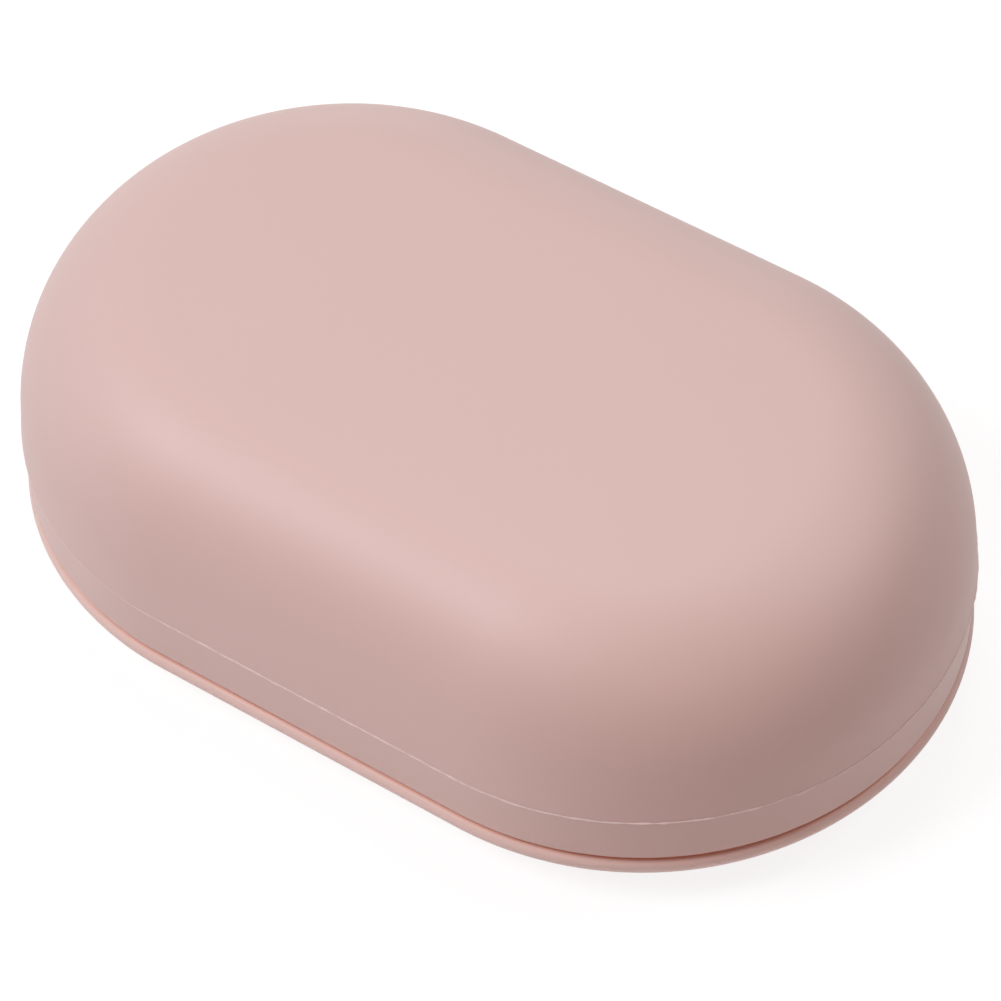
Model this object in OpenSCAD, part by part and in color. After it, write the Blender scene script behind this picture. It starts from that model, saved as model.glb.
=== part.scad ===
// Travel soap box: a domed silicone lid that pushes over the collar of a shallow silicone
// base, and a drain rack that lifts out of the base.
// Millimetres. X runs along the box, Z is up, and the origin is the middle of the foot.

/* [Plan] */
// Length over the lid's widest line
body_l = 123; // [112:1:140]
// Width over the lid's widest line
body_w = 80; // [74:1:92]

/* [Lid] */
// Height of the lid from the seam to the crown
lid_h = 31.8; // [30:0.1:40]
// Height of the widest line, where the mould parts, above the seam
parting_h = 8.1; // [7:0.1:8.6]
// Wall thickness of the dome
lid_wall = 2.2; // [1.6:0.1:2.6]
// Lean of the wall above the widest line, in degrees
upper_draft = 4.6; // [2:0.2:7]
// Lean of the skirt below the widest line, in degrees
lower_draft = 2.4; // [0.6:0.2:3.6]
// Radius that turns the wall into the shoulder
side_r = 22.6; // [19:0.2:24]
// Radius of the shoulder
shoulder_r = 17.7; // [15:0.2:20]
// Radius that softens the shoulder into the crown
blend_r = 25.3; // [20:0.2:30]
// Radius of the skirt's outer lower edge
skirt_edge_r = 1.4; // [0.8:0.1:1.5]
// Lead-in chamfer inside the skirt's mouth
lead_in = 0.6; // [0.3:0.1:0.8]

/* [Base] */
// Height of the seam above the table
seam_h = 7.3; // [6.9:0.1:9]
// How far the base's rim stands out from the lid's widest line
rim_proud = 0.2; // [0:0.05:0.6]
// Radius of the rim's outer face
rim_r = 5; // [4:0.1:6]
// Radius of the rim's upper edge
rim_edge_r = 0.9; // [0.4:0.1:1]
// Wall and floor thickness
base_wall = 2.2; // [1.8:0.1:2.6]
// Thickness of the collar that stands inside the lid
collar_t = 2; // [1.6:0.1:2.4]
// Height of the collar above the seam
collar_h = 6; // [5:0.1:7]
// Depth of the hollow under the foot
foot_hollow = 0.6; // [0.3:0.1:0.9]
// Width of the foot ring's flat
foot_w = 6; // [4:0.5:9]

/* [Drain rack] */
// Thickness of the rack's plate
rack_t = 2.4; // [1.8:0.1:3]
// Height of the rack's underside above the floor
rack_lift = 4.4; // [4.2:0.1:5]
// Width of the rack's solid border
rack_border = 5.4; // [4.6:0.1:7]
// Width of a drain slot
slot_w = 3.6; // [2.6:0.1:3.8]
// Width of a bar between two slots
bar_w = 3.4; // [3.2:0.1:4.4]
// Width of the spine along the middle
spine_w = 5; // [3:0.5:8]
// Length of a finger hole, along the box
finger_l = 11; // [9:0.5:12]
// Width of a finger hole, across the box
finger_w = 18; // [14:0.5:24]
// Radius of the ridges that carry the soap
ridge_r = 1.5; // [1.2:0.1:1.6]
// Height of the ridges above the plate
ridge_h = 0.9; // [0.5:0.1:1]
// Diameter of the posts that carry the rack
post_d = 4; // [3:0.1:5]

/* [Fit] */
// Thickness of the skirt at the widest line
skirt_t = 2.6; // [2.4:0.1:3]
// Clearance between the skirt and the collar
collar_gap = 0.35; // [0.25:0.05:0.6]
// Clearance between the skirt and the crests of the seal ribs
seal_gap = 0.05; // [0.02:0.01:0.1]
// Radius of the two seal ribs round the collar
seal_r = 0.6; // [0.45:0.05:0.8]
// Clearance between the rack's edge and the collar
rack_gap = 0.4; // [0.3:0.05:0.8]

/* [Hidden] */
$fn = 96;

// Directions of the outward normal, in degrees above the horizontal, at which the lid's
// radii hand over to each other, and the one at which the base's rim hands over to its belly
side_turn = 36.7;
shoulder_turn = 79.4;
crown_turn = 87.1;
rim_turn = -50;
// The rim's outer face is struck from this far above the seam
rim_centre_rise = 0.25;
// Heights of the seal ribs, as shares of the collar's height
SEAL_RIBS = [0.34, 0.68];
// Directions from an end's centre in which the posts stand
POST_TURNS = [-90, -30, 30, 90];
// How far shapes reach into what they join or beyond what they cut
reach = 1;

half_w = body_w / 2;
half_spine = (body_l - body_w) / 2;
parting_z = seam_h + parting_h;
top_z = seam_h + lid_h;
skirt_in = half_w - skirt_t;

function unit(a) = [cos(a), sin(a)];

// The lid's arcs run tangent to each other from the wall to a crown struck from the axis.
// The straight part of the wall takes up the height that they leave.
arc_rise = side_r * (sin(side_turn) - sin(upper_draft))
    + shoulder_r * (sin(shoulder_turn) - sin(side_turn))
    + blend_r * (sin(crown_turn) - sin(shoulder_turn));
arc_inset = side_r * (cos(upper_draft) - cos(side_turn))
    + shoulder_r * (cos(side_turn) - cos(shoulder_turn))
    + blend_r * (cos(shoulder_turn) - cos(crown_turn));
crown_share = (1 - sin(crown_turn)) / cos(crown_turn);
wall_len = (lid_h - parting_h - arc_rise - (half_w - arc_inset) * crown_share)
    / (cos(upper_draft) - sin(upper_draft) * crown_share);
wall_top = [half_w - wall_len * sin(upper_draft), parting_z + wall_len * cos(upper_draft)];
side_c = wall_top - side_r * unit(upper_draft);
shoulder_c = side_c + (side_r - shoulder_r) * unit(side_turn);
blend_c = shoulder_c + (shoulder_r - blend_r) * unit(shoulder_turn);
crown_r = (blend_c[0] + blend_r * cos(crown_turn)) / cos(crown_turn);
crown_c = [0, top_z - crown_r];
LID_ARCS = [
    [side_c, side_r, upper_draft, side_turn],
    [shoulder_c, shoulder_r, side_turn, shoulder_turn],
    [blend_c, blend_r, shoulder_turn, crown_turn],
    [crown_c, crown_r, crown_turn, 90]
];

// The skirt below the widest line, and its rounded lower edge
skirt_foot = half_w - parting_h * tan(lower_draft);
skirt_edge_c = [
    skirt_foot - skirt_edge_r * (1 - sin(lower_draft)) / cos(lower_draft),
    seam_h + skirt_edge_r
];

// The base's rim, its upper edge and the belly under it, all tangent, and the collar
rim_c = [half_w + rim_proud - rim_r, seam_h + rim_centre_rise];
rim_start = -asin((rim_centre_rise + rim_edge_r) / (rim_r - rim_edge_r));
rim_edge_c = rim_c + (rim_r - rim_edge_r) * unit(rim_start);
belly_r = (rim_c[1] + rim_r * sin(rim_turn)) / (1 + sin(rim_turn));
belly_c = rim_c + (rim_r - belly_r) * unit(rim_turn);
bowl_r = belly_r - base_wall;
collar_out = skirt_in - collar_gap;
collar_in = collar_out - collar_t;
collar_top = seam_h + collar_h;
bowl_turn = -acos((collar_in - belly_c[0]) / bowl_r);

// The rack, its slots from end to end and its finger holes
rack_z = base_wall + rack_lift;
rack_edge = collar_in - rack_gap;
slots_edge = rack_edge - rack_border;
pitch = slot_w + bar_w;
finger_x = half_spine + slots_edge - finger_l / 2 - bar_w;
slots_a_side = floor((finger_x - finger_l / 2 - bar_w - slot_w / 2) / pitch);
post_rho = rack_edge - rack_border / 2;

// Half of the slotted area's width at a distance x from the middle
function slots_y(x) = sqrt(pow(slots_edge, 2) - pow(max(0, abs(x) - half_spine), 2));

// A strip of a disc between two directions, from inside its chord out to its arc
module arc_strip(c, r, from, to) {
    far = r / cos((to - from) / 2) + reach;
    intersection() {
        translate(c) circle(r);
        polygon([
            c + (r - reach) * unit(from),
            c + far * unit(from),
            c + far * unit(to),
            c + (r - reach) * unit(to)
        ]);
    }
}

// Half outline of the dome, drawn in by inset, from its wall's lower end at height z_low
module dome_half(inset, z_low) {
    start = side_c + (side_r - inset) * unit(upper_draft);
    drop = (start[1] - z_low) / cos(upper_draft);
    polygon(concat(
        [[0, z_low], start + drop * [sin(upper_draft), -cos(upper_draft)], start],
        [for (a = LID_ARCS) a[0] + (a[1] - inset) * unit(a[3])]
    ));
    for (a = LID_ARCS)
        arc_strip(a[0], a[1] - inset, a[2], a[3]);
}

module lid_half() {
    difference() {
        union() {
            dome_half(0, parting_z);
            polygon([
                [0, seam_h],
                [skirt_edge_c[0], seam_h],
                skirt_edge_c + skirt_edge_r * unit(-lower_draft),
                [half_w, parting_z],
                [half_w - reach, parting_z + reach],
                [0, parting_z + reach]
            ]);
            translate(skirt_edge_c) circle(skirt_edge_r);
        }
        intersection() {
            dome_half(lid_wall, seam_h - reach);
            translate([0, seam_h - reach]) square([skirt_in, lid_h + 2 * reach]);
        }
        polygon([
            [skirt_in - reach, seam_h - reach],
            [skirt_in + lead_in + reach, seam_h - reach],
            [skirt_in - reach, seam_h + lead_in + reach]
        ]);
    }
}

module collar_half() {
    translate([collar_in, seam_h - reach]) square([collar_t, collar_h + reach - collar_t / 2]);
    translate([collar_in + collar_t / 2, collar_top - collar_t / 2]) circle(collar_t / 2);
    for (share = SEAL_RIBS)
        translate([skirt_in - seal_gap - seal_r, seam_h + collar_h * share]) circle(seal_r);
}

module bowl_half() {
    polygon([
        [0, base_wall],
        [belly_c[0], base_wall],
        belly_c + bowl_r * unit(bowl_turn),
        [collar_in, collar_top + reach],
        [0, collar_top + reach]
    ]);
    arc_strip(belly_c, bowl_r, -90, bowl_turn);
}

module base_half() {
    difference() {
        union() {
            polygon([
                [0, 0],
                [belly_c[0], 0],
                rim_c + rim_r * unit(rim_turn),
                rim_c + rim_r * unit(rim_start),
                [rim_edge_c[0], seam_h],
                [0, seam_h]
            ]);
            arc_strip(belly_c, belly_r, -90, rim_turn);
            arc_strip(rim_c, rim_r, rim_turn, rim_start);
            translate(rim_edge_c) circle(rim_edge_r);
            collar_half();
        }
        bowl_half();
        translate([0, -reach]) square([belly_c[0] - foot_w, foot_hollow + reach]);
    }
}

// Sweeps a half outline, drawn from the axis outwards, round the box's long plan
module round_plan() {
    for (end = [-1, 1])
        translate([end * half_spine, 0, 0])
            rotate([0, 0, -90 * end])
                rotate_extrude(angle = 180) children();
    translate([-half_spine, 0, 0])
        rotate([90, 0, 90])
            linear_extrude(2 * half_spine) {
                children();
                mirror([1, 0]) children();
            }
}

// A flat plate with straight sides and half-round ends
module long_plate(rho, t) {
    translate([-half_spine, -rho, 0]) cube([2 * half_spine, 2 * rho, t]);
    for (end = [-1, 1])
        translate([end * half_spine, 0, 0]) cylinder(r = rho, h = t);
}

module lid() {
    color("rosybrown") round_plan() lid_half();
}

module base_tray() {
    color("rosybrown") {
        round_plan() base_half();
        for (end = [-1, 1], turn = POST_TURNS)
            translate([
                end * (half_spine + post_rho * cos(turn)),
                post_rho * sin(turn),
                base_wall / 2
            ])
                cylinder(d = post_d, h = rack_z - base_wall / 2);
    }
}

module finger_hole(t) {
    round_r = finger_l / 2;
    translate([-round_r, round_r - finger_w / 2, 0]) cube([finger_l, finger_w - finger_l, t]);
    for (side = [-1, 1])
        translate([0, side * (finger_w / 2 - round_r), 0]) cylinder(r = round_r, h = t);
}

module drain_slots(t) {
    intersection() {
        long_plate(slots_edge, t);
        for (i = [-slots_a_side : slots_a_side], side = [0, 1])
            mirror([0, side, 0])
                translate([i * pitch - slot_w / 2, spine_w / 2, 0]) cube([slot_w, half_w, t]);
    }
}

// A round-ended ridge across the box, from the middle of the plate's thickness up
module ridge(half_l) {
    intersection() {
        translate([0, 0, rack_t + ridge_h - ridge_r]) {
            rotate([90, 0, 0]) cylinder(r = ridge_r, h = 2 * half_l, center = true);
            for (side = [-1, 1])
                translate([0, side * half_l, 0]) sphere(ridge_r);
        }
        translate([-pitch / 2, -half_w, rack_t / 2]) cube([pitch, 2 * half_w, rack_t]);
    }
}

module drain_rack() {
    color("mistyrose") translate([0, 0, rack_z]) {
        difference() {
            long_plate(rack_edge, rack_t);
            translate([0, 0, -reach]) {
                drain_slots(rack_t + 2 * reach);
                for (end = [-1, 1])
                    translate([end * finger_x, 0, 0]) finger_hole(rack_t + 2 * reach);
            }
        }
        for (i = [-slots_a_side : slots_a_side - 1])
            translate([(i + 0.5) * pitch, 0, 0])
                ridge(slots_y((i + 0.5) * pitch) - ridge_r);
    }
}

lid();
base_tray();
drain_rack();
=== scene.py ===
import math

import bmesh
import bpy
from mathutils import Matrix, Vector


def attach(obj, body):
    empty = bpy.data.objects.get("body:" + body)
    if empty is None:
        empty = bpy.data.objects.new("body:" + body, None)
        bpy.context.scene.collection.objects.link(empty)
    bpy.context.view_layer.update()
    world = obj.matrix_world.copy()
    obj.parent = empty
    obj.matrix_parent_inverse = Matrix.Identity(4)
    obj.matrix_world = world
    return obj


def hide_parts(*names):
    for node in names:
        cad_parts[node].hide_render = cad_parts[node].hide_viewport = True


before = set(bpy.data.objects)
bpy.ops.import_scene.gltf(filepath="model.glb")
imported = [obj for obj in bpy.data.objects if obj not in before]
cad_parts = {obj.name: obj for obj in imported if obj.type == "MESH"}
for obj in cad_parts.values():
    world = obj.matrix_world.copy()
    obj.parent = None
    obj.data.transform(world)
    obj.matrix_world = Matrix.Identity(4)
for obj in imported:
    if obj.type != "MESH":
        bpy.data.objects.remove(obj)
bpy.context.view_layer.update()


# The base tray is one moulding of soft silicone rubber, made in a blasted steel tool. It has a
# foot ring, a bowl, the rim that shows under the seam, and a collar with two seal ribs. Nothing
# fastens it: the lid pushes over the collar and grips the ribs.
MM = 0.001
BODY_LENGTH = 123.0
BODY_WIDTH = 80.0
HALF_WIDTH = BODY_WIDTH / 2
HALF_SPINE = (BODY_LENGTH - BODY_WIDTH) / 2
SEAM_HEIGHT = 7.3
WALL = 2.2
FOOT_WIDTH = 6.0
FOOT_HOLLOW = 0.6
BROKEN_EDGE = 0.05
RIM_PROUD = 0.2
RIM_RADIUS = 5.0
RIM_CENTRE_RISE = 0.25
RIM_EDGE_RADIUS = 0.9
RIM_TURN = -50
SKIRT_THICKNESS = 2.6
SKIRT_INSIDE = HALF_WIDTH - SKIRT_THICKNESS
COLLAR_GAP = 0.35
COLLAR_OUTSIDE = SKIRT_INSIDE - COLLAR_GAP
COLLAR_WALL = 2.0
COLLAR_INSIDE = COLLAR_OUTSIDE - COLLAR_WALL
COLLAR_HEIGHT = 6.0
COLLAR_TOP = SEAM_HEIGHT + COLLAR_HEIGHT
COLLAR_ROOT_RADIUS = 0.2
SEAL_RIB_RADIUS = 0.6
SEAL_GAP = 0.05
# Where the ribs stand, as shares of the collar's height
SEAL_RIB_SHARES = (0.34, 0.68)
# Points of a mesh nearer to each other than this, in metres, become one.
WELD = 1e-6


def toward(degrees):
    """The direction in a half section that lies that many degrees above the horizontal."""
    return Vector((math.cos(math.radians(degrees)), math.sin(math.radians(degrees))))


def arc(centre, radius, start, end, steps):
    """Points of a half section along an arc, from one direction to another."""
    turns = [start + (end - start) * i / steps for i in range(steps + 1)]
    return [Vector(centre) + radius * toward(turn) for turn in turns]


def moulding(name, section, round_steps=96, straight_steps=26):
    """Sweeps a closed half section round the box's long plan and makes it one smooth shell."""
    turn_step = 180 / round_steps
    straight_step = 2 * HALF_SPINE / straight_steps
    stations = [(HALF_SPINE, -90 + turn_step * i) for i in range(round_steps)]
    stations += [(HALF_SPINE - straight_step * i, 90) for i in range(straight_steps)]
    stations += [(-HALF_SPINE, 90 + turn_step * i) for i in range(round_steps)]
    stations += [(straight_step * i - HALF_SPINE, 270) for i in range(straight_steps)]
    around = len(stations)
    points = []
    for out, height in section:
        for middle, turn in stations:
            plan = out * toward(turn)
            points.append(((middle + plan.x) * MM, plan.y * MM, height * MM))
    faces = []
    for low in range(0, (len(section) - 1) * around, around):
        high = low + around
        for i in range(around):
            j = (i + 1) % around
            faces.append((low + i, low + j, high + j, high + i))
    mesh = bpy.data.meshes.new(name)
    mesh.from_pydata(points, [], faces)
    shell = bmesh.new()
    shell.from_mesh(mesh)
    bmesh.ops.remove_doubles(shell, verts=shell.verts, dist=WELD)
    bmesh.ops.recalc_face_normals(shell, faces=shell.faces)
    for face in shell.faces:
        face.smooth = True
    shell.to_mesh(mesh)
    shell.free()
    piece = bpy.data.objects.new(name, mesh)
    bpy.context.scene.collection.objects.link(piece)
    return piece


rim_centre = Vector((HALF_WIDTH + RIM_PROUD - RIM_RADIUS, SEAM_HEIGHT + RIM_CENTRE_RISE))
rim_sine = (RIM_CENTRE_RISE + RIM_EDGE_RADIUS) / (RIM_RADIUS - RIM_EDGE_RADIUS)
rim_start = -math.degrees(math.asin(rim_sine))
rim_edge_centre = rim_centre + (RIM_RADIUS - RIM_EDGE_RADIUS) * toward(rim_start)
belly_radius = (rim_centre.y + RIM_RADIUS * toward(RIM_TURN).y) / (1 + toward(RIM_TURN).y)
belly_centre = rim_centre + (RIM_RADIUS - belly_radius) * toward(RIM_TURN)
bowl_radius = belly_radius - WALL
bowl_end = -math.degrees(math.acos((COLLAR_INSIDE - belly_centre.x) / bowl_radius))
foot_inside = belly_centre.x - FOOT_WIDTH
hollow_round = FOOT_HOLLOW / 2
rib_line = SKIRT_INSIDE - SEAL_GAP - SEAL_RIB_RADIUS
rib_turn = math.degrees(math.acos((COLLAR_OUTSIDE - rib_line) / SEAL_RIB_RADIUS))
# A ring of points on each flat keeps long thin faces off the middle of the box.
hollow_ring = 12.0
floor_ring = 14.0

tray_section = [Vector((0, FOOT_HOLLOW)), Vector((hollow_ring, FOOT_HOLLOW))]
hollow_edge = (foot_inside - hollow_round, hollow_round)
tray_section += arc(hollow_edge, hollow_round, 90, 0, steps=4)
tray_section += [Vector((foot_inside, BROKEN_EDGE)), Vector((foot_inside + BROKEN_EDGE, 0))]
tray_section += [Vector((foot_inside + FOOT_WIDTH / 2, 0))]
tray_section += arc(belly_centre, belly_radius, -90, RIM_TURN, steps=24)
tray_section += arc(rim_centre, RIM_RADIUS, RIM_TURN, rim_start, steps=16)[1:]
tray_section += arc(rim_edge_centre, RIM_EDGE_RADIUS, rim_start, 90, steps=18)[1:]
collar_root = (COLLAR_OUTSIDE + COLLAR_ROOT_RADIUS, SEAM_HEIGHT + COLLAR_ROOT_RADIUS)
tray_section += arc(collar_root, COLLAR_ROOT_RADIUS, -90, -180, steps=4)
for share in SEAL_RIB_SHARES:
    rib = Vector((rib_line, SEAM_HEIGHT + COLLAR_HEIGHT * share))
    tray_section += arc(rib, SEAL_RIB_RADIUS, -rib_turn, rib_turn, steps=12)
collar_lip = (COLLAR_OUTSIDE - COLLAR_WALL / 2, COLLAR_TOP - COLLAR_WALL / 2)
tray_section += arc(collar_lip, COLLAR_WALL / 2, 0, 180, steps=20)
tray_section += arc(belly_centre, bowl_radius, bowl_end, -90, steps=20)
tray_section += [Vector((floor_ring, WALL)), Vector((0, WALL))]
base_tray = moulding("base_tray_moulding", tray_section)


def linear(code):
    """An sRGB hex colour as the linear colour that a shader socket holds."""
    parts = [int(code[i : i + 2], 16) / 255 for i in (1, 3, 5)]
    return [p / 12.92 if p <= 0.04045 else ((p + 0.055) / 1.055) ** 2.4 for p in parts] + [1.0]


def add_node(tree, kind, inputs=None, **settings):
    """Adds one node to a tree. An input is given by its name or number, as a value or as the
    socket that feeds it."""
    node = tree.nodes.new(kind)
    for key, value in settings.items():
        setattr(node, key, value)
    for key, value in (inputs or {}).items():
        if isinstance(value, bpy.types.NodeSocket):
            tree.links.new(value, node.inputs[key])
        else:
            node.inputs[key].default_value = value
    return node


SILICONE_CLOUDS_PER_MM = 0.045
SILICONE_GRAINS_PER_MM = 2.6
GRAIN_DEPTH = 0.02
# How far, in mm, the ambient occlusion lookup for the painted seam shade reaches
SEAM_SHADE_REACH = 1.5


def moulded_silicone(name, colour, cloud_colour, seam_shade_colour, open_share):
    """Silicone rubber, pigmented and moulded in a blasted steel tool: matt and soft to the eye,
    with a satin grain and faint clouds of pigment some 20 mm across. The real grain is about
    0.1 mm; it is drawn at 0.4 mm, so that it shows. In seams and creases the colour is painted
    shade: an ambient occlusion lookup turns the surface to the warmer seam_shade_colour where
    it is hemmed in. A place that sees less than open_share of the room is in the seam."""
    material = bpy.data.materials.new(name)
    material.use_nodes = True
    tree = material.node_tree
    tree.nodes.clear()
    place = add_node(tree, "ShaderNodeTexCoord").outputs["Object"]
    clouds = add_node(
        tree,
        "ShaderNodeTexNoise",
        {"Vector": place, "Scale": SILICONE_CLOUDS_PER_MM / MM, "Detail": 3.0},
    )
    pigment = add_node(
        tree,
        "ShaderNodeMixRGB",
        {"Fac": clouds.outputs["Fac"], "Color1": linear(colour), "Color2": linear(cloud_colour)},
    )
    # Painted shade: the ambient occlusion lookup and the mix below turn the colour to
    # seam_shade_colour in seams and creases
    openness = add_node(
        tree, "ShaderNodeAmbientOcclusion", {"Distance": SEAM_SHADE_REACH * MM}, samples=12
    )
    clear = add_node(
        tree, "ShaderNodeMapRange", {"Value": openness.outputs["AO"], "From Max": open_share}
    )
    tint = add_node(
        tree,
        "ShaderNodeMixRGB",
        {"Fac": clear.outputs[0], "Color1": linear(seam_shade_colour), "Color2": pigment.outputs["Color"]},
    )
    grain = add_node(
        tree,
        "ShaderNodeTexNoise",
        {"Vector": place, "Scale": SILICONE_GRAINS_PER_MM / MM, "Detail": 2.0},
    )
    bump = add_node(
        tree,
        "ShaderNodeBump",
        {"Strength": 0.12, "Distance": GRAIN_DEPTH * MM, "Height": grain.outputs["Fac"]},
    )
    surface = add_node(
        tree,
        "ShaderNodeBsdfPrincipled",
        {
            "Base Color": tint.outputs["Color"],
            "Roughness": 0.5,
            "IOR": 1.46,
            "Normal": bump.outputs["Normal"],
        },
    )
    add_node(tree, "ShaderNodeOutputMaterial", {"Surface": surface.outputs["BSDF"]})
    return material


# DEA68F is the painted seam shade on the base, where its rim meets the lid
# The base's colours are drawn lighter than the lid's, though both are one silicone: painted light for
# the table's bounce on the rim
base_silicone = moulded_silicone("blush silicone, base", "#E7C9C2", "#E5C7C0", "#DEA68F", 0.9)
base_tray.data.materials.append(base_silicone)
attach(base_tray, "base")
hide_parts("base_tray")


# The rack posts are part of the base's moulding: eight short silicone pegs, four round each end
# of the bowl's floor, with softened edges. The drain rack lies loose on their heads.
RACK_GAP = 0.4
RACK_EDGE = COLLAR_INSIDE - RACK_GAP
RACK_BORDER = 5.4
RACK_LIFT = 4.4
RACK_BOTTOM = WALL + RACK_LIFT
POSTS_AN_END = 4
POST_FOOT = 1.6
POST_RADIUS = 2.0
POST_EDGE_RADIUS = 0.35


def new_tree(name, sizes):
    """A geometry node tree with one named input for each size."""
    tree = bpy.data.node_groups.new(name, "GeometryNodeTree")
    for label, value in sizes.items():
        kind = "NodeSocketInt" if isinstance(value, int) else "NodeSocketFloat"
        tree.interface.new_socket(label, in_out="INPUT", socket_type=kind)
    tree.interface.new_socket("Geometry", in_out="OUTPUT", socket_type="NodeSocketGeometry")
    return tree


def finish_tree(tree, made, material):
    """Ends a tree: plain smooth geometry in its material."""
    plain = add_node(tree, "GeometryNodeRealizeInstances", {"Geometry": made})
    smooth = add_node(tree, "GeometryNodeSetShadeSmooth", {"Geometry": plain.outputs[0]})
    dressed = add_node(
        tree, "GeometryNodeSetMaterial", {"Geometry": smooth.outputs[0], "Material": material}
    )
    add_node(tree, "NodeGroupOutput", {"Geometry": dressed.outputs[0]})


def grown(name, tree, sizes):
    """Runs a tree on an empty mesh with these sizes and keeps what it makes as a plain piece."""
    seed = bpy.data.objects.new(name + "_seed", bpy.data.meshes.new(name + "_seed"))
    bpy.context.scene.collection.objects.link(seed)
    modifier = seed.modifiers.new(tree.name, "NODES")
    modifier.node_group = tree
    for item in tree.interface.items_tree:
        if item.in_out == "INPUT":
            modifier[item.identifier] = sizes[item.name]
    depsgraph = bpy.context.evaluated_depsgraph_get()
    mesh = bpy.data.meshes.new_from_object(seed.evaluated_get(depsgraph))
    bpy.data.objects.remove(seed)
    mesh.name = name
    piece = bpy.data.objects.new(name, mesh)
    bpy.context.scene.collection.objects.link(piece)
    return piece


def rounded_bars(tree, lines, radius, end_radius, points, sides):
    """Gives each line of a tree a round section, with its ends rounded by end_radius."""
    drawn = add_node(tree, "GeometryNodeResampleCurve", {"Curve": lines, "Count": points})
    along = add_node(tree, "GeometryNodeSplineParameter").outputs["Length"]
    whole = add_node(tree, "GeometryNodeSplineLength").outputs["Length"]
    beyond = add_node(tree, "ShaderNodeMath", {0: whole, 1: along}, operation="SUBTRACT")
    near_end = add_node(
        tree, "ShaderNodeMath", {0: along, 1: beyond.outputs[0]}, operation="MINIMUM"
    )
    inset = add_node(
        tree, "ShaderNodeMath", {0: near_end.outputs[0], 1: end_radius}, operation="MINIMUM"
    )
    short = add_node(
        tree, "ShaderNodeMath", {0: end_radius, 1: inset.outputs[0]}, operation="SUBTRACT"
    )
    lost = add_node(
        tree, "ShaderNodeMath", {0: short.outputs[0], 1: short.outputs[0]}, operation="MULTIPLY"
    )
    full = add_node(tree, "ShaderNodeMath", {0: end_radius, 1: end_radius}, operation="MULTIPLY")
    rest = add_node(
        tree, "ShaderNodeMath", {0: full.outputs[0], 1: lost.outputs[0]}, operation="SUBTRACT"
    )
    rise = add_node(tree, "ShaderNodeMath", {0: rest.outputs[0], 1: 0.5}, operation="POWER")
    core = add_node(tree, "ShaderNodeMath", {0: radius, 1: end_radius}, operation="SUBTRACT")
    girth = add_node(
        tree, "ShaderNodeMath", {0: core.outputs[0], 1: rise.outputs[0]}, operation="ADD"
    )
    ring = add_node(tree, "GeometryNodeCurvePrimitiveCircle", {"Resolution": sides, "Radius": 1.0})
    bars = add_node(
        tree,
        "GeometryNodeCurveToMesh",
        {
            "Curve": drawn.outputs["Curve"],
            "Profile Curve": ring.outputs["Curve"],
            "Scale": girth.outputs[0],
            "Fill Caps": True,
        },
    )
    return bars.outputs["Mesh"]


post_sizes = {
    "Half spine": HALF_SPINE * MM,
    "Ring radius": (RACK_EDGE - RACK_BORDER / 2) * MM,
    "Posts an end": POSTS_AN_END,
    "Foot height": POST_FOOT * MM,
    "Head height": RACK_BOTTOM * MM,
    "Post radius": POST_RADIUS * MM,
    "Edge radius": POST_EDGE_RADIUS * MM,
}
posts_tree = new_tree("Rack posts", post_sizes)
size = add_node(posts_tree, "NodeGroupInput").outputs
foot = add_node(posts_tree, "ShaderNodeCombineXYZ", {"Z": size["Foot height"]})
head = add_node(posts_tree, "ShaderNodeCombineXYZ", {"Z": size["Head height"]})
post = add_node(
    posts_tree,
    "GeometryNodeCurvePrimitiveLine",
    {"Start": foot.outputs[0], "End": head.outputs[0]},
)
post_mesh = rounded_bars(
    posts_tree, post.outputs["Curve"], size["Post radius"], size["Edge radius"], points=60, sides=32
)
half_ring = add_node(
    posts_tree,
    "GeometryNodeCurveArc",
    {
        "Resolution": size["Posts an end"],
        "Radius": size["Ring radius"],
        "Start Angle": -math.pi / 2,
        "Sweep Angle": math.pi,
    },
)
end_shift = add_node(posts_tree, "ShaderNodeCombineXYZ", {"X": size["Half spine"]})
right_end = add_node(
    posts_tree,
    "GeometryNodeTransform",
    {"Geometry": half_ring.outputs["Curve"], "Translation": end_shift.outputs[0]},
)
left_end = add_node(
    posts_tree,
    "GeometryNodeTransform",
    {"Geometry": right_end.outputs[0], "Rotation": (0, 0, math.pi)},
)
both = add_node(posts_tree, "GeometryNodeJoinGeometry", {"Geometry": right_end.outputs[0]})
posts_tree.links.new(left_end.outputs[0], both.inputs[0])
standing = add_node(
    posts_tree, "GeometryNodeInstanceOnPoints", {"Points": both.outputs[0], "Instance": post_mesh}
)
finish_tree(posts_tree, standing.outputs[0], base_silicone)
rack_posts = grown("rack_posts", posts_tree, post_sizes)
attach(rack_posts, "base")


# The drain rack is a loose plate of injection-moulded polypropylene with rounded edges. Water
# runs through its slots into the bowl, and a finger goes in each end hole to lift it out.
RACK_THICKNESS = 2.4
RACK_EDGE_ROUND = 0.35
SLOTTED = RACK_EDGE - RACK_BORDER
SLOT_WIDTH = 3.6
BAR_WIDTH = 3.4
PITCH = SLOT_WIDTH + BAR_WIDTH
SLOTS_A_SIDE = 4
SLOT_CORNER = 0.5
SPINE_WIDTH = 5.0
FINGER_LENGTH = 11.0
FINGER_WIDTH = 18.0
FINGER_PLACE = HALF_SPINE + SLOTTED - FINGER_LENGTH / 2 - BAR_WIDTH
# A round end stops this short of a full half circle, so that no two of its points fall together.
SHORT_OF_ROUND = 0.01
# A face whose normal has at least this upright share is level, and isn't shaded smooth.
LEVEL = 0.999


def slotted_half_width(x):
    """How far the slotted area reaches from the middle line at a distance x along the box."""
    return math.sqrt(SLOTTED**2 - max(0.0, abs(x) - HALF_SPINE) ** 2)


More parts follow.
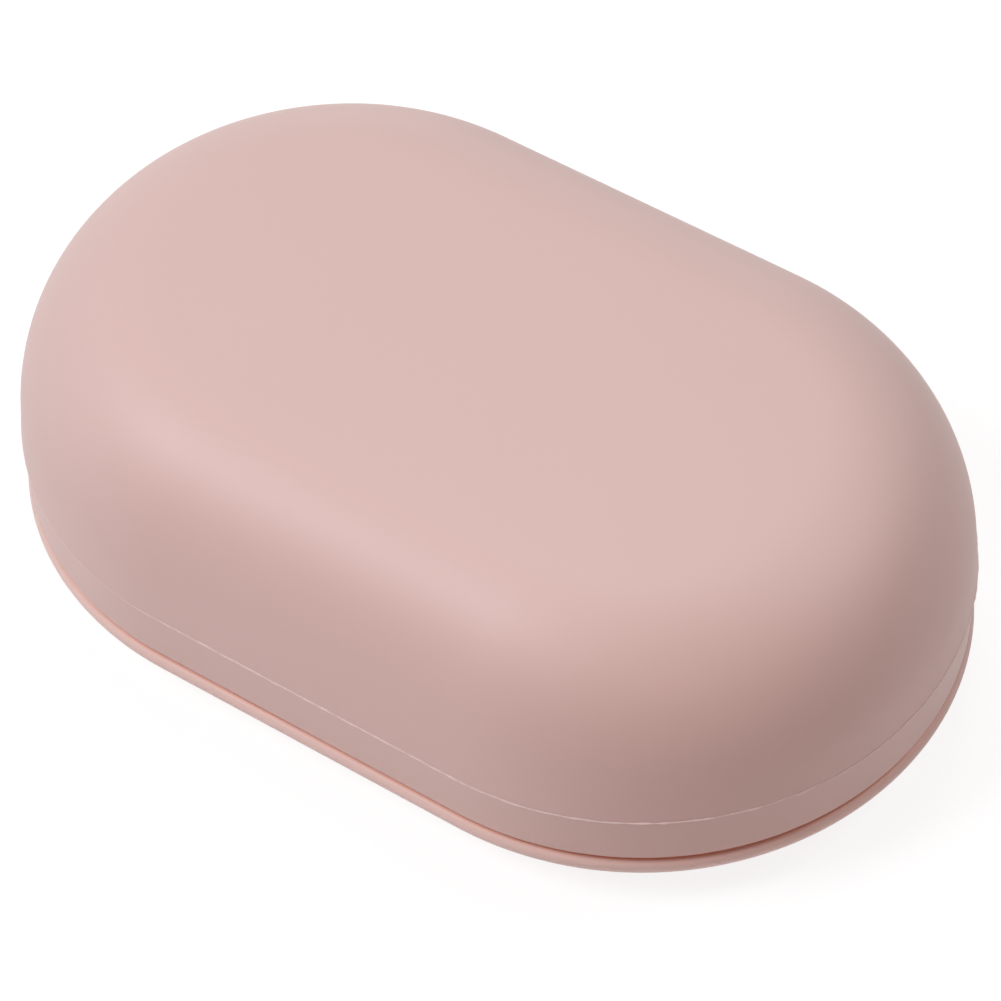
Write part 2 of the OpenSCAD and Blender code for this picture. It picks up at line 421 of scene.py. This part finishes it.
def rounded_corners(corners, radius, steps=5):
    """An outline with each of its corners turned by an arc of this radius."""
    outline = []
    neighbours = zip(corners[-1:] + corners[:-1], corners, corners[1:] + corners[:1])
    for before, corner, after in neighbours:
        back = (Vector(before) - Vector(corner)).normalized()
        ahead = (Vector(after) - Vector(corner)).normalized()
        half = back.angle(ahead) / 2
        start = Vector(corner) + back * radius / math.tan(half)
        end = Vector(corner) + ahead * radius / math.tan(half)
        centre = Vector(corner) + (back + ahead).normalized() * radius / math.sin(half)
        for i in range(steps + 1):
            spoke = (start - centre).lerp(end - centre, i / steps).normalized()
            outline.append(centre + spoke * radius)
    return outline


def long_round(middle, along, across, steps):
    """The outline of a shape with round ends, centred on the X axis at middle."""
    left, right = middle - along, middle + along
    corners = [(left, -across), (right, -across), (right, across), (left, across)]
    return rounded_corners(corners, min(along, across) - SHORT_OF_ROUND, steps)


# The curve's bevel swells each outline by its own depth, so the outlines leave room for it.
swell = RACK_EDGE_ROUND
outlines = [long_round(0, HALF_SPINE + RACK_EDGE - swell, RACK_EDGE - swell, steps=48)]
for end in (-1, 1):
    hole_along = FINGER_LENGTH / 2 + swell
    hole_across = FINGER_WIDTH / 2 + swell
    outlines.append(long_round(end * FINGER_PLACE, hole_along, hole_across, steps=14))
for i in range(-SLOTS_A_SIDE, SLOTS_A_SIDE + 1):
    left = i * PITCH - SLOT_WIDTH / 2 - swell
    right = i * PITCH + SLOT_WIDTH / 2 + swell
    near = SPINE_WIDTH / 2 - swell
    far_left = slotted_half_width(left + swell) + swell
    far_right = slotted_half_width(right - swell) + swell
    for side in (-1, 1):
        corners = [
            (left, side * near),
            (right, side * near),
            (right, side * far_right),
            (left, side * far_left),
        ]
        outlines.append(rounded_corners(corners, SLOT_CORNER + swell))
plate_curve = bpy.data.curves.new("rack_plate_outline", "CURVE")
plate_curve.dimensions = "2D"
plate_curve.fill_mode = "BOTH"
plate_curve.extrude = (RACK_THICKNESS / 2 - swell) * MM
plate_curve.bevel_depth = swell * MM
plate_curve.bevel_resolution = 3
for outline in outlines:
    spline = plate_curve.splines.new("POLY")
    spline.points.add(len(outline) - 1)
    for point, place in zip(spline.points, outline):
        point.co = (place.x * MM, place.y * MM, 0, 1)
    spline.use_cyclic_u = True
plate = bpy.data.objects.new("rack_plate", plate_curve)
bpy.context.scene.collection.objects.link(plate)
depsgraph = bpy.context.evaluated_depsgraph_get()
plate_mesh = bpy.data.meshes.new_from_object(plate.evaluated_get(depsgraph))
bpy.data.objects.remove(plate)
plate_mesh.transform(Matrix.Translation((0, 0, (RACK_BOTTOM + RACK_THICKNESS / 2) * MM)))
joined = bmesh.new()
joined.from_mesh(plate_mesh)
bmesh.ops.remove_doubles(joined, verts=joined.verts, dist=WELD)
bmesh.ops.recalc_face_normals(joined, faces=joined.faces)
for face in joined.faces:
    face.smooth = abs(face.normal.z) < LEVEL
joined.to_mesh(plate_mesh)
joined.free()
drain_rack = bpy.data.objects.new("drain_rack_plate", plate_mesh)
bpy.context.scene.collection.objects.link(drain_rack)

PLASTIC_CLOUDS_PER_MM = 0.06
SPARK_PITS_PER_MM = 3.2


def moulded_polypropylene(name, colour, cloud_colour):
    """Polypropylene, injection-moulded in a spark-eroded tool: satin and slightly waxy, with fine
    pits. The real pits are under 0.1 mm; they are drawn at 0.3 mm, so that they show."""
    material = bpy.data.materials.new(name)
    material.use_nodes = True
    tree = material.node_tree
    tree.nodes.clear()
    place = add_node(tree, "ShaderNodeTexCoord").outputs["Object"]
    clouds = add_node(
        tree,
        "ShaderNodeTexNoise",
        {"Vector": place, "Scale": PLASTIC_CLOUDS_PER_MM / MM, "Detail": 2.0},
    )
    tint = add_node(
        tree,
        "ShaderNodeMixRGB",
        {"Fac": clouds.outputs["Fac"], "Color1": linear(colour), "Color2": linear(cloud_colour)},
    )
    pits = add_node(
        tree,
        "ShaderNodeTexNoise",
        {"Vector": place, "Scale": SPARK_PITS_PER_MM / MM, "Detail": 2.0},
    )
    bump = add_node(
        tree,
        "ShaderNodeBump",
        {"Strength": 0.2, "Distance": GRAIN_DEPTH * MM, "Height": pits.outputs["Fac"]},
    )
    surface = add_node(
        tree,
        "ShaderNodeBsdfPrincipled",
        {
            "Base Color": tint.outputs["Color"],
            "Roughness": 0.4,
            "IOR": 1.49,
            "Normal": bump.outputs["Normal"],
        },
    )
    add_node(tree, "ShaderNodeOutputMaterial", {"Surface": surface.outputs["BSDF"]})
    return material


rack_plastic = moulded_polypropylene("pale blush polypropylene", "#E9DAD5", "#E6D5D0")
drain_rack.data.materials.clear()
drain_rack.data.materials.append(rack_plastic)
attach(drain_rack, "rack")
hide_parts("drain_rack")


# The soap ridges are part of the rack's moulding: one rounded polypropylene ridge on each bar
# between two slots. They hold the bar of soap clear of the plate, so that it dries.
RIDGE_RADIUS = 1.5
RIDGE_RISE = 0.9

ridge_sizes = {
    "Ridges": 2 * SLOTS_A_SIDE,
    "Pitch": PITCH * MM,
    "Slotted half width": SLOTTED * MM,
    "Half spine": HALF_SPINE * MM,
    "Ridge radius": RIDGE_RADIUS * MM,
    "Ridge height": (RACK_BOTTOM + RACK_THICKNESS + RIDGE_RISE - RIDGE_RADIUS) * MM,
}
ridges_tree = new_tree("Soap ridges", ridge_sizes)
size = add_node(ridges_tree, "NodeGroupInput").outputs
gaps = add_node(ridges_tree, "ShaderNodeMath", {0: size["Ridges"], 1: 1.0}, operation="SUBTRACT")
span = add_node(
    ridges_tree, "ShaderNodeMath", {0: gaps.outputs[0], 1: size["Pitch"]}, operation="MULTIPLY"
)
first = add_node(ridges_tree, "ShaderNodeMath", {0: span.outputs[0], 1: -0.5}, operation="MULTIPLY")
start = add_node(
    ridges_tree, "ShaderNodeCombineXYZ", {"X": first.outputs[0], "Z": size["Ridge height"]}
)
step = add_node(ridges_tree, "ShaderNodeCombineXYZ", {"X": size["Pitch"]})
row = add_node(
    ridges_tree,
    "GeometryNodeMeshLine",
    {"Count": size["Ridges"], "Start Location": start.outputs[0], "Offset": step.outputs[0]},
)
where = add_node(ridges_tree, "GeometryNodeInputPosition").outputs[0]
x = add_node(ridges_tree, "ShaderNodeSeparateXYZ", {0: where}).outputs["X"]
away = add_node(ridges_tree, "ShaderNodeMath", {0: x}, operation="ABSOLUTE")
past = add_node(
    ridges_tree, "ShaderNodeMath", {0: away.outputs[0], 1: size["Half spine"]}, operation="SUBTRACT"
)
in_round = add_node(ridges_tree, "ShaderNodeMath", {0: past.outputs[0], 1: 0.0}, operation="MAXIMUM")
lost = add_node(ridges_tree, "ShaderNodeMath", {0: in_round.outputs[0], 1: 2.0}, operation="POWER")
full = add_node(
    ridges_tree, "ShaderNodeMath", {0: size["Slotted half width"], 1: 2.0}, operation="POWER"
)
rest = add_node(
    ridges_tree, "ShaderNodeMath", {0: full.outputs[0], 1: lost.outputs[0]}, operation="SUBTRACT"
)
half_length = add_node(ridges_tree, "ShaderNodeMath", {0: rest.outputs[0], 1: 0.5}, operation="POWER")
stretch = add_node(
    ridges_tree, "ShaderNodeCombineXYZ", {"X": 1.0, "Y": half_length.outputs[0], "Z": 1.0}
)
unit_line = add_node(
    ridges_tree, "GeometryNodeCurvePrimitiveLine", {"Start": (0, -1, 0), "End": (0, 1, 0)}
)
lines = add_node(
    ridges_tree,
    "GeometryNodeInstanceOnPoints",
    {
        "Points": row.outputs["Mesh"],
        "Instance": unit_line.outputs["Curve"],
        "Scale": stretch.outputs[0],
    },
)
plain_lines = add_node(
    ridges_tree, "GeometryNodeRealizeInstances", {"Geometry": lines.outputs[0]}
).outputs[0]
ridge_radius = size["Ridge radius"]
ridge_mesh = rounded_bars(
    ridges_tree, plain_lines, ridge_radius, ridge_radius, points=200, sides=24
)
finish_tree(ridges_tree, ridge_mesh, rack_plastic)
soap_ridges = grown("soap_ridges", ridges_tree, ridge_sizes)
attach(soap_ridges, "rack")


# The lid is one moulding of the base's silicone: a dome that runs into a skirt, which pushes
# over the collar. Its wall leans in above the widest line, where the tool parts, and the skirt
# leans in below it, to a rounded lower edge.
LID_HEIGHT = 31.8
PARTING_RISE = 8.1
PARTING_HEIGHT = SEAM_HEIGHT + PARTING_RISE
UPPER_DRAFT = 4.6
LOWER_DRAFT = 2.4
CROWN_TURN = 87.1
# Radius of each arc of the dome, with the directions in which it starts and ends
DOME_ARCS = [(22.6, UPPER_DRAFT, 36.7), (17.7, 36.7, 79.4), (25.3, 79.4, CROWN_TURN)]
SKIRT_EDGE_RADIUS = 1.4
LEAD_IN = 0.6
LEAD_IN_BREAK = 0.02
PARTING_FACE = 0.1
# Heights of the rings of points up the inside of the skirt
INSIDE_RINGS = (8.5, 10.8, 13.1, 15.4, 17.7)
# Steps of each arc of the dome, from the side to the crown
OUTSIDE_STEPS = (30, 40, 12, 16)
INSIDE_STEPS = (16, 20, 6, 8)
WALL_STEPS = 8
SKIRT_STEPS = 10

# The arcs run tangent to each other, from the wall to a crown struck from the axis. The
# straight part of the wall takes up the height that they leave.
arcs_path = Vector((0, 0))
for radius, start, end in DOME_ARCS:
    arcs_path += radius * (toward(end) - toward(start))
crown_share = (1 - toward(CROWN_TURN).y) / toward(CROWN_TURN).x
up_the_wall = toward(90 + UPPER_DRAFT)
height_left = LID_HEIGHT - PARTING_RISE - arcs_path.y - (HALF_WIDTH + arcs_path.x) * crown_share
wall_length = height_left / (up_the_wall.y + up_the_wall.x * crown_share)
parting = Vector((HALF_WIDTH, PARTING_HEIGHT))
wall_top = parting + wall_length * up_the_wall

dome = []
centre = wall_top - DOME_ARCS[0][0] * toward(UPPER_DRAFT)
for (radius, start, end), following in zip(DOME_ARCS, DOME_ARCS[1:] + [None]):
    dome.append((centre, radius, start, end))
    if following:
        centre = centre + (radius - following[0]) * toward(end)
crown_edge = centre + radius * toward(CROWN_TURN)
crown_radius = crown_edge.x / toward(CROWN_TURN).x
crown_centre = Vector((0, SEAM_HEIGHT + LID_HEIGHT - crown_radius))
dome.append((crown_centre, crown_radius, CROWN_TURN, 90))

skirt_lean = Vector((math.tan(math.radians(LOWER_DRAFT)), 1))
skirt_low = parting - PARTING_RISE * skirt_lean
edge_inset = SKIRT_EDGE_RADIUS * (1 - toward(LOWER_DRAFT).y) / toward(LOWER_DRAFT).x
skirt_edge = skirt_low + Vector((-edge_inset, SKIRT_EDGE_RADIUS))
skirt_foot = skirt_edge + SKIRT_EDGE_RADIUS * toward(-LOWER_DRAFT)
wall_lean = up_the_wall / up_the_wall.y

lid_section = []
for (centre, radius, start, end), steps in zip(reversed(dome), reversed(OUTSIDE_STEPS)):
    lid_section += arc(centre, radius, end, start, steps)
lid_section += [wall_top.lerp(parting, i / WALL_STEPS) for i in range(1, WALL_STEPS)]
lid_section += [parting + PARTING_FACE * wall_lean, parting, parting - PARTING_FACE * skirt_lean]
lid_section += [parting.lerp(skirt_foot, i / SKIRT_STEPS) for i in range(1, SKIRT_STEPS)]
lid_section += arc(skirt_edge, SKIRT_EDGE_RADIUS, -LOWER_DRAFT, -90, steps=20)
# The lead-in chamfer of the skirt's mouth, with its two corners broken
chamfer_low = Vector((SKIRT_INSIDE + LEAD_IN, SEAM_HEIGHT))
chamfer_high = Vector((SKIRT_INSIDE, SEAM_HEIGHT + LEAD_IN))
lid_section += [chamfer_low + Vector((2 * BROKEN_EDGE, 0))]
lid_section += [chamfer_low + Vector((0, LEAD_IN_BREAK))]
lid_section += [chamfer_high + Vector((BROKEN_EDGE, -2 * LEAD_IN_BREAK))]
lid_section += [chamfer_high + Vector((0, BROKEN_EDGE))]
lid_section += [Vector((SKIRT_INSIDE, height)) for height in INSIDE_RINGS]
side_centre, side_radius = dome[0][:2]
inside_start = math.degrees(math.acos((SKIRT_INSIDE - side_centre.x) / (side_radius - WALL)))
for (centre, radius, start, end), steps in zip(dome, INSIDE_STEPS):
    lid_section += arc(centre, radius - WALL, max(start, inside_start), end, steps)
lid = moulding("lid_moulding", lid_section)
# FFA486 is the painted seam shade on the lid, a warm coral along its lower edge where it meets the
# rim
lid_silicone = moulded_silicone("blush silicone, lid", "#D9BAB4", "#D7B8B2", "#FFA486", 0.6)
lid.data.materials.append(lid_silicone)
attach(lid, "lid")
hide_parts("lid")


# The parting flash is the thin fin of lid silicone that seeped between the tool's halves at the
# widest line. It is uneven and wavers, because it was torn off by hand, and it is trimmed
# closer round the left end.
flash_sizes = {
    "Half width": HALF_WIDTH * MM,
    "Half spine": HALF_SPINE * MM,
    "Height": PARTING_HEIGHT * MM,
    "Bead radius": 0.11 * MM,
    "Least share": 0.5,
    "Most share": 1.5,
    "Tears per metre": 0.7 / MM,
    "Drift": 0.16 * MM,
    "Wavers per metre": 0.4 / MM,
    "Trimmed up to": -26.0 * MM,
    "Whole from": -18.0 * MM,
    "Trimmed share": 0.25,
    "Step": 0.2 * MM,
}
flash_tree = new_tree("Parting flash", flash_sizes)
size = add_node(flash_tree, "NodeGroupInput").outputs
ring = add_node(
    flash_tree, "GeometryNodeCurvePrimitiveCircle", {"Resolution": 360, "Radius": size["Half width"]}
)
where = add_node(flash_tree, "GeometryNodeInputPosition").outputs[0]
x = add_node(flash_tree, "ShaderNodeSeparateXYZ", {0: where}).outputs["X"]
# Snapping puts the points at the middle of the ring on neither end's side.
exact = add_node(flash_tree, "ShaderNodeMath", {0: x, 1: WELD}, operation="SNAP")
end = add_node(flash_tree, "ShaderNodeMath", {0: exact.outputs[0]}, operation="SIGN")
shift = add_node(
    flash_tree, "ShaderNodeMath", {0: end.outputs[0], 1: size["Half spine"]}, operation="MULTIPLY"
)
move = add_node(flash_tree, "ShaderNodeCombineXYZ", {"X": shift.outputs[0], "Z": size["Height"]})
plan = add_node(
    flash_tree, "GeometryNodeSetPosition", {"Geometry": ring.outputs[0], "Offset": move.outputs[0]}
)
fine = add_node(
    flash_tree,
    "GeometryNodeResampleCurve",
    {"Curve": plan.outputs[0], "Length": size["Step"]},
    mode="LENGTH",
)
tears = add_node(
    flash_tree,
    "ShaderNodeTexNoise",
    {"Vector": where, "Scale": size["Tears per metre"], "Detail": 2.0},
)
# Nearly all of the noise lies between 0.35 and 0.65.
share = add_node(
    flash_tree,
    "ShaderNodeMapRange",
    {
        "Value": tears.outputs["Fac"],
        "From Min": 0.35,
        "From Max": 0.65,
        "To Min": size["Least share"],
        "To Max": size["Most share"],
    },
)
trimmed = add_node(
    flash_tree,
    "ShaderNodeMapRange",
    {
        "Value": x,
        "From Min": size["Trimmed up to"],
        "From Max": size["Whole from"],
        "To Min": size["Trimmed share"],
        "To Max": 1.0,
    },
)
kept = add_node(
    flash_tree, "ShaderNodeMath", {0: share.outputs[0], 1: trimmed.outputs[0]}, operation="MULTIPLY"
)
bead = add_node(
    flash_tree, "ShaderNodeMath", {0: kept.outputs[0], 1: size["Bead radius"]}, operation="MULTIPLY"
)
wavers = add_node(
    flash_tree,
    "ShaderNodeTexNoise",
    {"Vector": where, "Scale": size["Wavers per metre"], "Detail": 1.0},
)
lowest = add_node(flash_tree, "ShaderNodeMath", {0: size["Drift"], 1: -1.0}, operation="MULTIPLY")
drift = add_node(
    flash_tree,
    "ShaderNodeMapRange",
    {"Value": wavers.outputs["Fac"], "To Min": lowest.outputs[0], "To Max": size["Drift"]},
)
sway = add_node(flash_tree, "ShaderNodeCombineXYZ", {"Z": drift.outputs[0]})
ragged = add_node(
    flash_tree, "GeometryNodeSetPosition", {"Geometry": fine.outputs[0], "Offset": sway.outputs[0]}
)
round_section = add_node(
    flash_tree, "GeometryNodeCurvePrimitiveCircle", {"Resolution": 10, "Radius": 1.0}
)
flash_mesh = add_node(
    flash_tree,
    "GeometryNodeCurveToMesh",
    {
        "Curve": ragged.outputs[0],
        "Profile Curve": round_section.outputs[0],
        "Scale": bead.outputs[0],
    },
)
# The flash is drawn paler than the lid silicone it is made of, a painted highlight along the parting
# line; its seam colour is its own, so it takes no painted seam shade
flash_silicone = moulded_silicone("blush silicone, flash", "#ECD8D4", "#E8D4D0", "#ECD8D4", 0.6)
finish_tree(flash_tree, flash_mesh.outputs[0], flash_silicone)
parting_flash = grown("parting_flash", flash_tree, flash_sizes)
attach(parting_flash, "lid")


# The box stands on a plain white table in a white studio. The room and the table show white, and
# the table keeps the box's shadow; their light on the box is weak, and softboxes do the rest.
WHITE = (1.0, 1.0, 1.0, 1.0)
ROOM_LIGHT = 0.02
HALF_TABLE = 3.0
TABLE_GLOW = 0.85
SHADOW_GREY = (0.22, 0.22, 0.22, 1.0)


def shown_rays(tree):
    """A socket that is 1 for what the camera sees, straight or in a reflection, and else 0."""
    ray = add_node(tree, "ShaderNodeLightPath").outputs
    shown = ray["Is Camera Ray"]
    for kind in ("Is Glossy Ray", "Is Transmission Ray"):
        either = add_node(tree, "ShaderNodeMath", {0: shown, 1: ray[kind]}, operation="MAXIMUM")
        shown = either.outputs[0]
    return shown


world = bpy.data.worlds.new("white studio")
bpy.context.scene.world = world
world.use_nodes = True
room = world.node_tree
room.nodes.clear()
dim = add_node(room, "ShaderNodeBackground", {"Color": WHITE, "Strength": ROOM_LIGHT})
white = add_node(room, "ShaderNodeBackground", {"Color": WHITE, "Strength": 1.0})
mixed = add_node(
    room, "ShaderNodeMixShader", {0: shown_rays(room), 1: dim.outputs[0], 2: white.outputs[0]}
)
add_node(room, "ShaderNodeOutputWorld", {"Surface": mixed.outputs[0]})

table_corners = [(x * HALF_TABLE, y * HALF_TABLE, 0) for x, y in ((-1, -1), (1, -1), (1, 1), (-1, 1))]
table_mesh = bpy.data.meshes.new("table")
table_mesh.from_pydata(table_corners, [], [(0, 1, 2, 3)])
table = bpy.data.objects.new("table", table_mesh)
bpy.context.scene.collection.objects.link(table)
table_white = bpy.data.materials.new("matt white table")
table_white.use_nodes = True
tree = table_white.node_tree
tree.nodes.clear()
matt = add_node(tree, "ShaderNodeBsdfDiffuse", {"Color": linear("#E7E7E7")})
shadowed = add_node(tree, "ShaderNodeBsdfDiffuse", {"Color": SHADOW_GREY})
glow = add_node(tree, "ShaderNodeEmission", {"Color": WHITE, "Strength": TABLE_GLOW})
pale = add_node(tree, "ShaderNodeAddShader", {0: shadowed.outputs[0], 1: glow.outputs[0]})
top = add_node(
    tree, "ShaderNodeMixShader", {0: shown_rays(tree), 1: matt.outputs[0], 2: pale.outputs[0]}
)
add_node(tree, "ShaderNodeOutputMaterial", {"Surface": top.outputs[0]})
table_mesh.materials.append(table_white)


# The softboxes stand round the box, strongest at its front left and its rear, and a warm
# reflector fills its front right.
SOFTBOX_DISTANCE = 1.3
SOFTBOX_WIDTH = 0.6
LAMP_AIM = Vector((0, 0, 0.015))
NEUTRAL = (1.0, 1.0, 1.0)
COOL = (0.99, 1.0, 1.03)
WARM = (1.0, 0.48, 0.34)


def way_back(azimuth, elevation):
    """The direction from the box to what looks at it. An azimuth of 0 is its front, and 90 its
    right."""
    a, e = math.radians(azimuth), math.radians(elevation)
    return Vector((math.sin(a) * math.cos(e), -math.cos(a) * math.cos(e), math.sin(e)))


# Each softbox's name, azimuth, elevation, power in watts and colour
for name, azimuth, elevation, power, colour in (
    ("key softbox", 315, 50, 10.0, COOL),
    ("rear right softbox", 135, 50, 3.85, NEUTRAL),
    ("overhead softbox", 210, 68, 4.5, NEUTRAL),
    ("low left softbox", 300, 8, 1.3, NEUTRAL),
    ("low rear softbox", 210, 8, 1.0, NEUTRAL),
    ("warm front reflector", 45, 30, 2.05, WARM),
):
    back = way_back(azimuth, elevation)
    lamp = bpy.data.lights.new(name, "AREA")
    lamp.shape = "DISK"
    lamp.size = SOFTBOX_WIDTH
    lamp.energy = power
    lamp.color = colour
    softbox = bpy.data.objects.new(name, lamp)
    softbox.location = LAMP_AIM + SOFTBOX_DISTANCE * back
    softbox.rotation_euler = back.to_track_quat("Z", "Y").to_euler()
    bpy.context.scene.collection.objects.link(softbox)


# The camera looks down on the box from its front right through a long lens. Its place was
# worked out from the outline and the seam, and it leans a little to one side.
CAMERA_AZIMUTH = 35.76
CAMERA_ELEVATION = 50.44
CAMERA_ROLL = -2.148
CAMERA_DISTANCE = 0.58056
CAMERA_AIM = Vector((0, 0, 0.0154))
CAMERA_SIDESTEP = 0.0009885
CAMERA_DROP = 0.0030371

lens = bpy.data.cameras.new("studio camera")
lens.sensor_width = 36.0
lens.lens = 172.6
lens.clip_start = 0.01
camera = bpy.data.objects.new("studio camera", lens)
back = way_back(CAMERA_AZIMUTH, CAMERA_ELEVATION)
turn = math.radians(CAMERA_AZIMUTH)
roll = math.radians(CAMERA_ROLL)
level = Vector((math.cos(turn), math.sin(turn), 0))
right = level * math.cos(roll) + back.cross(level) * math.sin(roll)
up = back.cross(right)
place = CAMERA_AIM + CAMERA_DISTANCE * back + CAMERA_SIDESTEP * right - CAMERA_DROP * up
axes = Matrix((right, up, back)).transposed()
camera.matrix_world = Matrix.Translation(place) @ axes.to_4x4()
bpy.context.scene.collection.objects.link(camera)
bpy.context.scene.camera = camera
bpy.context.scene.view_settings.view_transform = "Standard"
